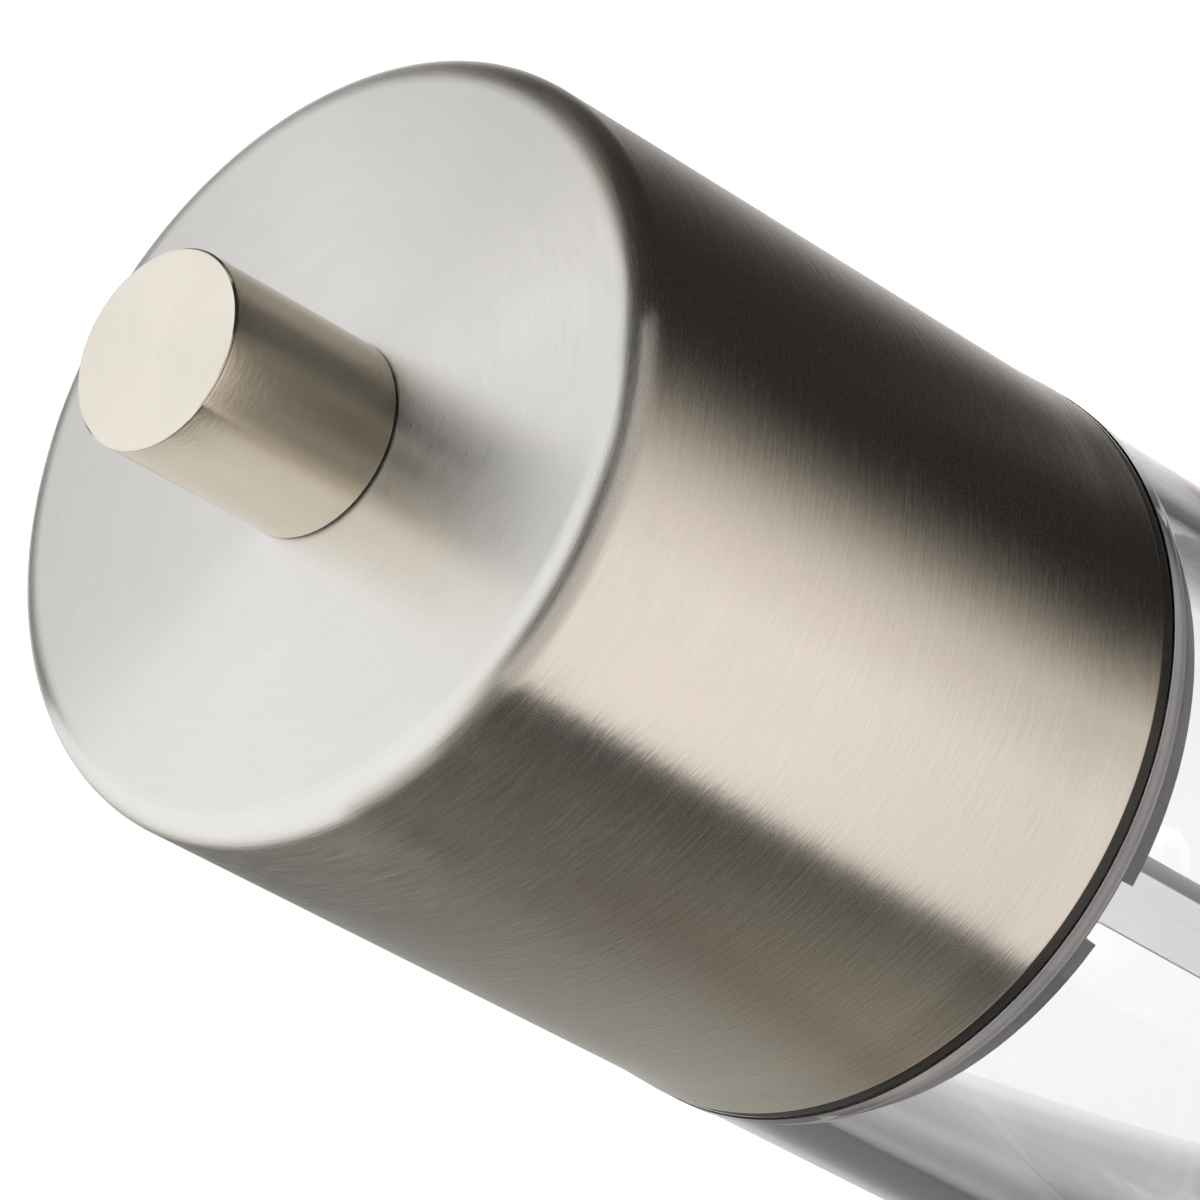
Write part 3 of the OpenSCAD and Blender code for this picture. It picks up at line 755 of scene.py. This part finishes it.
def make_shaft():
    """The square bar with its turned and threaded upper end."""
    levels = [
        (shaft_low.z, SHAFT_SIDE - SHAFT_FOOT_TAPER),
        (shaft_low.z + SHAFT_FOOT_H, SHAFT_SIDE),
        (SHAFT_SQUARE_TOP - SHAFT_SHOULDER_H, SHAFT_SIDE),
        (SHAFT_SQUARE_TOP, SHAFT_SIDE - SHAFT_SHOULDER_TAPER),
    ]
    bar = skinned_mesh("bar", [square_section(side, SHAFT_CORNER, z) for z, side in levels])
    start = SHAFT_SQUARE_TOP - THREAD_OVERLAP
    top = shaft_high.z
    rows = round((top - start) / THREAD_PITCH * THREAD_ROWS)
    heights = [start + (top - start) * k / rows for k in range(rows + 1)]
    thread = skinned_mesh("thread", [thread_section(z, start - THREAD_OVERLAP, top) for z in heights])
    work = bmesh.new()
    work.from_mesh(bar)
    work.from_mesh(thread)
    piece = new_piece("shaft_bar", mesh_from(work, "shaft_bar"))
    dress(piece, "shaft", "shaft", DRAWN_ALUMINIUM)


SPRING_WIRE = 0.9
SPRING_TURNS = 4.5
SPRING_FLAT = 0.25
SPRING_STEPS = 28
SPRING_SIDES = 14


def make_spring():
    """The round wire spring between rotor and bush, with closed flat ends."""
    coil_r = spring_high.x - SPRING_WIRE / 2
    low = spring_low.z + SPRING_WIRE / 2
    rise = spring_high.z - spring_low.z - SPRING_WIRE
    sections = []
    for i in range(round(SPRING_TURNS * SPRING_STEPS) + 1):
        turn = i / SPRING_STEPS
        climbed = min(max(turn - SPRING_FLAT, 0), SPRING_TURNS - 2 * SPRING_FLAT)
        z = low + rise * climbed / (SPRING_TURNS - 2 * SPRING_FLAT)
        section = []
        for k in range(SPRING_SIDES):
            b = TURN * k / SPRING_SIDES
            r = coil_r + SPRING_WIRE / 2 * math.cos(b)
            section.append((r * math.cos(TURN * turn), r * math.sin(TURN * turn),
                            z + SPRING_WIRE / 2 * math.sin(b)))
        sections.append(section)
    piece = new_piece("spring_coil", skinned_mesh("spring_coil", sections))
    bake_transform(piece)
    stand_for(piece, "spring", PLATED_STEEL)


HEAD_ROUNDING = 0.5
HEAD_EDGE = 0.08
TIP_SHARE = 0.35
CROSS_DEPTH = 0.75
CROSS_LENGTH = 0.62
CROSS_WIDTH = 0.15
CROSS_START = 1.0
CROSS_MOUTH = 1.15
CROSS_FLOOR = 0.55


def screw_mesh(name, diameter, length, head_r, head_h, places):
    """Pan-head screws that point up, each with a cross recess in its head."""
    r = diameter / 2
    corners = [
        (0, -head_h, 0),
        (head_r, -head_h, head_h * HEAD_ROUNDING),
        (head_r, 0, HEAD_EDGE),
        (r, 0, 0),
        (r, length - r, 0),
        (r * TIP_SHARE, length, 0),
        (0, length, 0),
    ]
    screw = turned_mesh(name, rounded_outline(corners, steps=8), SCREW_SIDES)
    taper = (
        (-head_h - CROSS_START, CROSS_MOUTH),
        (-head_h, 1.0),
        (-head_h + head_h * CROSS_DEPTH, CROSS_FLOOR),
    )
    bars = []
    for wide, narrow in ((CROSS_LENGTH, CROSS_WIDTH), (CROSS_WIDTH, CROSS_LENGTH)):
        sections = []
        for z, scale in taper:
            x = head_r * wide * scale
            y = head_r * narrow * scale
            sections.append([(x, y, z), (-x, y, z), (-x, -y, z), (x, -y, z)])
        bars.append(skinned_mesh("bar", sections))
    for bar in bars:
        screw = cut_mesh(screw, bar)
    return copied_mesh(name, screw, places)


PLATE_FIRST = 0.0
PLATE_SCREWS = 3
PLATE_SCREW_R = 12.5
PLATE_SCREW_D = 2.9
PLATE_SCREW_L = 8.0
PLATE_SCREW_HEAD = 0.95
RETAINER_SCREW_L = 10.0
RETAINER_SCREW_HEAD = 0.85
ROTOR_SCREW_D = 2.9
ROTOR_SCREW_L = 9.0
ROTOR_SCREW_HEAD = 0.95


def make_screws():
    """The screws of the drive plate, the retainer ring and the rotor."""
    plate_low = node_box("drive_plate")[0]
    head = node_box("plate_screws")[0]
    mesh = screw_mesh("plate_screws_cross", PLATE_SCREW_D, PLATE_SCREW_L,
                      PLATE_SCREW_D * PLATE_SCREW_HEAD, plate_low.z - head.z,
                      ring_places(PLATE_SCREW_R, plate_low.z, PLATE_SCREWS, PLATE_FIRST))
    dress(new_piece("plate_screws_cross", mesh), "cap", "plate_screws", PLATED_STEEL)
    head = node_box("retainer_screws")[0]
    mesh = screw_mesh("retainer_screws_cross", RETAINER_SCREW_D, RETAINER_SCREW_L,
                      RETAINER_SCREW_D * RETAINER_SCREW_HEAD, retainer_low.z - head.z,
                      ring_places(RETAINER_SCREW_R, retainer_low.z, RETAINER_SCREWS, RETAINER_FIRST))
    dress(new_piece("retainer_screws_cross", mesh), "body", "retainer_screws", PLATED_STEEL)
    washer = node_box("rotor_washer")[0]
    head = node_box("rotor_screw")[0]
    mesh = screw_mesh("rotor_screw_cross", ROTOR_SCREW_D, ROTOR_SCREW_L,
                      ROTOR_SCREW_D * ROTOR_SCREW_HEAD, washer.z - head.z,
                      [Matrix.Translation((0, 0, washer.z))])
    dress(new_piece("rotor_screw_cross", mesh), "shaft", "rotor_screw", PLATED_STEEL)


def finish_packed_nodes():
    """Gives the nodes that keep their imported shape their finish."""
    finishes = {
        "cap_core": BLACK_CORE,
        "mill_housing": BLACK_CORE,
        "knob_washer": BLACK_CORE,
        "stator": TOOL_STEEL,
        "rotor": TOOL_STEEL,
        "retainer_ring": PLATED_STEEL,
        "rotor_washer": PLATED_STEEL,
        "shaft_clip": PLATED_STEEL,
        "drive_plate": PLATED_STEEL,
        "thrust_bush": NATURAL_NYLON,
    }
    for name, material in finishes.items():
        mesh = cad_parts[name].data
        mesh.materials.clear()
        mesh.materials.append(material)


make_cap_shell()
make_knob()
make_rings()
make_container()
make_shaft()
make_spring()
make_screws()
finish_packed_nodes()


# Camera, at the photograph's angle

CAMERA_AZIMUTH = math.radians(9.3)
CAMERA_ELEVATION = math.radians(39.263)
CAMERA_ROLL = math.radians(60.827)
CAMERA_DISTANCE = 531.62
FOCAL_PIXELS = 8085.18
FRAME_PIXELS = 1200
DISC_CENTRE_PIXEL = (318.46, 439.16)
SENSOR_MM = 36.0


def place_camera():
    """A long lens above the mill, rolled so that the axis runs across the frame."""
    back = Vector((math.sin(CAMERA_AZIMUTH) * math.cos(CAMERA_ELEVATION),
                   -math.cos(CAMERA_AZIMUTH) * math.cos(CAMERA_ELEVATION),
                   math.sin(CAMERA_ELEVATION)))
    forward = -back
    level = forward.cross(Vector((0, 0, 1))).normalized()
    above = level.cross(forward)
    across = level * math.cos(CAMERA_ROLL) - above * math.sin(CAMERA_ROLL)
    upward = level * math.sin(CAMERA_ROLL) + above * math.cos(CAMERA_ROLL)
    off_x = DISC_CENTRE_PIXEL[0] - FRAME_PIXELS / 2
    off_y = FRAME_PIXELS / 2 - DISC_CENTRE_PIXEL[1]
    pan = math.atan2(off_x, FOCAL_PIXELS)
    tilt = math.atan2(off_y, math.hypot(FOCAL_PIXELS, off_x))
    middle = forward * math.cos(tilt) - upward * math.sin(tilt)
    axis_y = upward * math.cos(tilt) + forward * math.sin(tilt)
    axis_x = across * math.cos(pan) + middle * math.sin(pan)
    axis_z = across * math.sin(pan) - middle * math.cos(pan)
    data = bpy.data.cameras.new("camera")
    data.sensor_width = SENSOR_MM
    data.lens = FOCAL_PIXELS * SENSOR_MM / FRAME_PIXELS
    camera = bpy.data.objects.new("camera", data)
    place = (Vector((0, 0, shell_high.z)) + back * CAMERA_DISTANCE) * MM
    turn = Matrix((axis_x, axis_y, axis_z)).transposed()
    camera.matrix_world = Matrix.Translation(place) @ turn.to_4x4()
    bpy.context.scene.collection.objects.link(camera)
    bpy.context.scene.camera = camera


# Studio: pale floor, white surroundings, soft lamps, and boards that only gloss or glass shows

FLOOR_SIZE = 6.0
FLOOR_SHARE = 0.8
FLOOR_LIFT = 0.34
SKY_LIGHT = 0.58


def seen_directly(tree):
    """One for rays from the camera and for rays mirrored or passed on by metal and glass."""
    rays = add_node(tree, "LightPath").outputs
    gloss = calc(tree, "MAXIMUM", rays["Is Glossy Ray"], rays["Is Transmission Ray"])
    return calc(tree, "MAXIMUM", rays["Is Camera Ray"], gloss)


def make_surroundings():
    """A pale floor and a white surrounding."""
    work = bmesh.new()
    bmesh.ops.create_grid(work, x_segments=1, y_segments=1, size=FLOOR_SIZE / 2 / MM)
    floor = new_piece("floor", mesh_from(work, "floor"))
    material = bpy.data.materials.new("pale floor")
    material.use_nodes = True
    tree = material.node_tree
    tree.nodes.clear()
    paint = add_node(tree, "BsdfDiffuse", {"Color": (FLOOR_SHARE, FLOOR_SHARE, FLOOR_SHARE, 1)})
    lift = calc(tree, "MULTIPLY", seen_directly(tree), FLOOR_LIFT)
    glow = add_node(tree, "Emission", {"Strength": lift})
    both = add_node(tree, "AddShader", {0: paint.outputs[0], 1: glow.outputs[0]})
    add_node(tree, "OutputMaterial", {"Surface": both.outputs[0]})
    floor.data.materials.append(material)
    world = bpy.data.worlds.new("white surrounding")
    world.use_nodes = True
    tree = world.node_tree
    strength = remap(tree, seen_directly(tree), 0.0, 1.0, SKY_LIGHT, 1.0)
    tree.links.new(strength, tree.nodes["Background"].inputs["Strength"])
    tree.nodes["Background"].inputs["Color"].default_value = (1, 1, 1, 1)
    bpy.context.scene.world = world


LAMP_AIM = Vector((0, 0, 0.09))


def make_lamp(name, azimuth, elevation, distance, size, power):
    """A square soft lamp that points at the mill."""
    data = bpy.data.lights.new(name, "AREA")
    data.size = size
    data.energy = power
    lamp = bpy.data.objects.new(name, data)
    a = math.radians(azimuth) + CAMERA_AZIMUTH
    e = math.radians(elevation)
    toward = Vector((math.sin(a) * math.cos(e), -math.cos(a) * math.cos(e), math.sin(e)))
    lamp.location = LAMP_AIM + toward * distance
    lamp.rotation_euler = toward.to_track_quat("Z", "Y").to_euler()
    lamp.visible_glossy = False
    bpy.context.scene.collection.objects.link(lamp)


BOARD_STEP = 2.0
WHITE = Vector((0.98, 0.98, 0.98))
BLACK = Vector((0, 0, 0))


def board_shade(shades, azimuth):
    """The colour of a board between its given shades."""
    for (a, one), (b, two) in zip(shades, shades[1:]):
        if azimuth <= b:
            return Vector(one).lerp(Vector(two), (azimuth - a) / (b - a))
    return Vector(shades[-1][1])


def make_board(name, profile, shades, behind_glass=False):
    """A curved studio board that only gloss shows, or that is only seen through the glass.

    The profile gives its radius, height and scale of colour from foot to head,
    and shades give its colour at azimuths from the camera. A board behind the
    glass fades to white where its scale falls to zero.
    """
    first = shades[0][0]
    last = shades[-1][0]
    count = round((last - first) / BOARD_STEP)
    fade = WHITE if behind_glass else BLACK
    work = bmesh.new()
    columns = []
    colours = []
    for k in range(count + 1):
        azimuth = first + (last - first) * k / count
        a = math.radians(azimuth) + CAMERA_AZIMUTH
        columns.append([work.verts.new((r * math.sin(a), -r * math.cos(a), z)) for r, z, _ in profile])
        shade = board_shade(shades, azimuth)
        colours.extend(fade.lerp(shade, scale) for _, _, scale in profile)
    for near, far in zip(columns, columns[1:]):
        for i in range(len(profile) - 1):
            work.faces.new((near[i], far[i], far[i + 1], near[i + 1]))
    board = new_piece(name, mesh_from(work, name))
    paint = board.data.color_attributes.new("shade", "FLOAT_COLOR", "POINT")
    for k, colour in enumerate(colours):
        paint.data[k].color = (*colour, 1)
    material = bpy.data.materials.new(name)
    material.use_nodes = True
    tree = material.node_tree
    tree.nodes.clear()
    shade = add_node(tree, "VertexColor", layer_name="shade")
    glow = add_node(tree, "Emission", {"Color": shade.outputs[0]})
    add_node(tree, "OutputMaterial", {"Surface": glow.outputs[0]})
    board.data.materials.append(material)
    board.visible_camera = False
    board.visible_diffuse = False
    board.visible_glossy = not behind_glass
    board.visible_transmission = behind_glass
    board.visible_shadow = False


place_camera()
make_surroundings()
make_lamp("key lamp", azimuth=-40, elevation=55, distance=0.9, size=0.6, power=2.8)
make_lamp("fill lamp", azimuth=70, elevation=35, distance=1.0, size=0.8, power=1.6)
make_lamp("back lamp", azimuth=170, elevation=50, distance=1.0, size=0.6, power=1.8)
make_board("front board", [(40, 1, 0.6), (90, 28.75, 0.75), (90, 112, 1.35), (90, 154, 0.4)], [
    (-26, (0.87, 0.79, 0.71)),
    (12, (0.87, 0.79, 0.71)),
    (25, (0.73, 0.655, 0.58)),
    (34, (0.55, 0.495, 0.42)),
])
make_board("front right board", [
    (40, 1, 1.4), (90, 28.75, 1.4), (90, 70, 1.15), (90, 112, 1.35), (90, 154, 0.5),
], [
    (34, (0.55, 0.495, 0.42)),
    (43, (0.32, 0.28, 0.23)),
    (51, (0.11, 0.10, 0.08)),
    (60, (0.025, 0.022, 0.018)),
])
make_board("right board", [(40, 1, 0.8), (90, 28.75, 0.8), (90, 70, 1.0), (90, 333.75, 1.0)], [
    (60, (0.025, 0.022, 0.018)),
    (70, (0.026, 0.021, 0.018)),
    (96, (0.028, 0.024, 0.021)),
    (105, (0.04, 0.036, 0.032)),
])
make_board("right end board", [
    (40, 1, 6.0), (90, 28.75, 5.0), (90, 42, 1.0), (90, 170, 1.0), (90, 210, 2.5),
], [
    (105, (0.036, 0.032, 0.028)),
    (123, (0.08, 0.075, 0.07)),
])
make_board("back board", [
    (60, 1, 9.5), (105, 22, 5.0), (150, 43.75, 2.1), (150, 105, 2.6),
    (150, 143, 0.8), (150, 238.75, 0.75),
], [
    (123, (0.045, 0.042, 0.04)),
    (132, (0.085, 0.08, 0.076)),
    (140, (0.15, 0.14, 0.136)),
    (152, (0.34, 0.33, 0.32)),
    (165, (0.50, 0.49, 0.48)),
    (177, (0.34, 0.332, 0.32)),
    (208, (0.22, 0.214, 0.205)),
])
make_board("left board", [
    (40, 1, 1.6), (95, 28.75, 2.3), (95, 64, 1.7), (95, 86, 0.5),
    (95, 106, 0.4), (95, 120, 1.5), (95, 143.75, 4.2),
], [
    (-172, (0.44, 0.44, 0.425)),
    (-152, (0.30, 0.30, 0.29)),
    (-140, (0.25, 0.243, 0.232)),
    (-130, (0.19, 0.19, 0.17)),
    (-105, (0.19, 0.175, 0.15)),
    (-87, (0.16, 0.147, 0.123)),
    (-72, (0.116, 0.098, 0.076)),
])
NEAR = [(40, 1, 4.5), (95, 28.75, 4.2), (95, 52, 2.3), (95, 66, 1.2)]
make_board("near left board", NEAR + [(95, 118, 0.5), (95, 134, 1.2)], [
    (-72, (0.116, 0.098, 0.076)),
    (-46, (0.068, 0.063, 0.05)),
])
make_board("near left rim board", [(95, 134, 0.4), (95, 150, 1.0), (95, 165, 1.9), (95, 198.75, 2.8)], [
    (-72, (0.36, 0.35, 0.325)),
    (-46, (0.21, 0.202, 0.185)),
])
make_board("near board", NEAR + [(95, 104, 0.6), (95, 127, 1.7), (95, 165, 3.5), (95, 198.75, 5.0)], [
    (-46, (0.068, 0.063, 0.05)),
    (-36, (0.042, 0.039, 0.034)),
    (-26, (0.038, 0.035, 0.03)),
])
make_board("high board", [(90, 155.75, 1.6), (200, 200, 1.0), (200, 225, 0.7)], [
    (-30, (0.40, 0.36, 0.30)),
    (-16, (0.42, 0.38, 0.33)),
    (20, (0.41, 0.37, 0.32)),
    (40, (0.34, 0.30, 0.25)),
    (60, (0.12, 0.105, 0.08)),
    (105, (0.09, 0.08, 0.06)),
])
make_board("lens board", [(60, 180, 1.0), (60, 228, 1.0), (60, 240, 1.6)], [
    (-43, (1.0, 0.97, 0.9)),
    (-29, (0.5, 0.46, 0.38)),
    (-15, (0.10, 0.085, 0.055)),
    (8, (0.042, 0.034, 0.017)),
    (22, (0.022, 0.018, 0.007)),
    (60, (0.022, 0.018, 0.007)),
])
make_board("top board", [(200, 470, 0.7), (200, 540, 1.0), (200, 640, 2.5)], [
    (8, (0.6, 0.56, 0.48)),
    (22, (0.04, 0.034, 0.02)),
    (44, (0.04, 0.034, 0.02)),
    (58, (0.6, 0.56, 0.48)),
])
make_board("tall board", [(150, 238.75, 0.5), (150, 290, 0.8), (150, 360, 1.6)], [
    (105, (0.31, 0.29, 0.24)),
    (130, (0.35, 0.333, 0.292)),
    (150, (0.73, 0.72, 0.69)),
    (166, (1.0, 0.99, 0.98)),
])
make_board("right card", [(40, 1, 0.0), (56, 1, 1.0), (105, 1, 1.0)], [
    (84, WHITE),
    (100, (0.07, 0.066, 0.075)),
    (146, (0.07, 0.066, 0.075)),
    (150, (0.3, 0.29, 0.31)),
    (155, (0.95, 0.95, 0.95)),
], behind_glass=True)
make_board("right far card", [(105, 1, 1.0), (150, 1, 1.0), (180, 1, 0.0)], [
    (84, WHITE),
    (100, (0.08, 0.076, 0.085)),
    (124, (0.09, 0.085, 0.095)),
    (130, (0.35, 0.34, 0.36)),
    (136, (0.6, 0.59, 0.61)),
    (150, (0.95, 0.95, 0.95)),
], behind_glass=True)
make_board("left card", [(40, 1, 0.0), (56, 1, 1.0), (150, 1, 1.0), (180, 1, 0.0)], [
    (-160, (0.95, 0.95, 0.95)),
    (-157, (0.5, 0.48, 0.48)),
    (-150, (0.42, 0.40, 0.41)),
    (-146, (0.20, 0.19, 0.21)),
    (-142, (0.09, 0.085, 0.10)),
    (-100, (0.09, 0.085, 0.10)),
    (-84, WHITE),
], behind_glass=True)

bpy.context.scene.view_settings.view_transform = "Standard"
